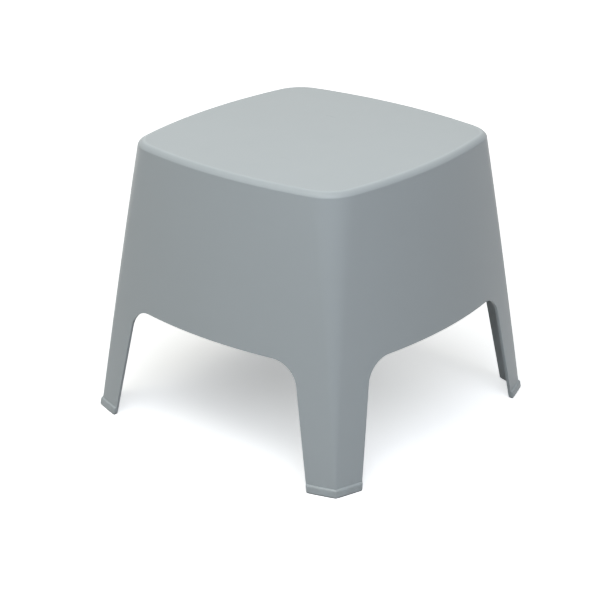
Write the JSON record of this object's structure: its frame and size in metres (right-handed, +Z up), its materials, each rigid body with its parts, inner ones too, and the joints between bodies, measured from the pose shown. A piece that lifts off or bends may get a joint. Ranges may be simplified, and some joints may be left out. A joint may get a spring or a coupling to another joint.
{
  "type": "stacking stool",
  "caption": "Square-topped moulded plastic stacking stool: a drafted shell with bowed sides, arched between splayed corner legs, standing on soft foot pads.",
  "frame": {"origin": "on the floor, below the middle of the seat", "axes": "+Z up, +X and +Y through the middles of two neighbouring sides. The four sides are alike, so the front (-Y) is only a name"},
  "size_m": [0.5116, 0.5116, 0.44],
  "materials": {
    "shell_plastic": "satin, very fine moulded texture, cool light grey",
    "pad_rubber": "matt, mid grey"
  },
  "bodies": {
    "root": {"seat_shell": "shell_plastic", "foot_pad_front_right": "pad_rubber", "foot_pad_back_right": "pad_rubber", "foot_pad_back_left": "pad_rubber", "foot_pad_front_left": "pad_rubber"}
  },
  "joints": []
}
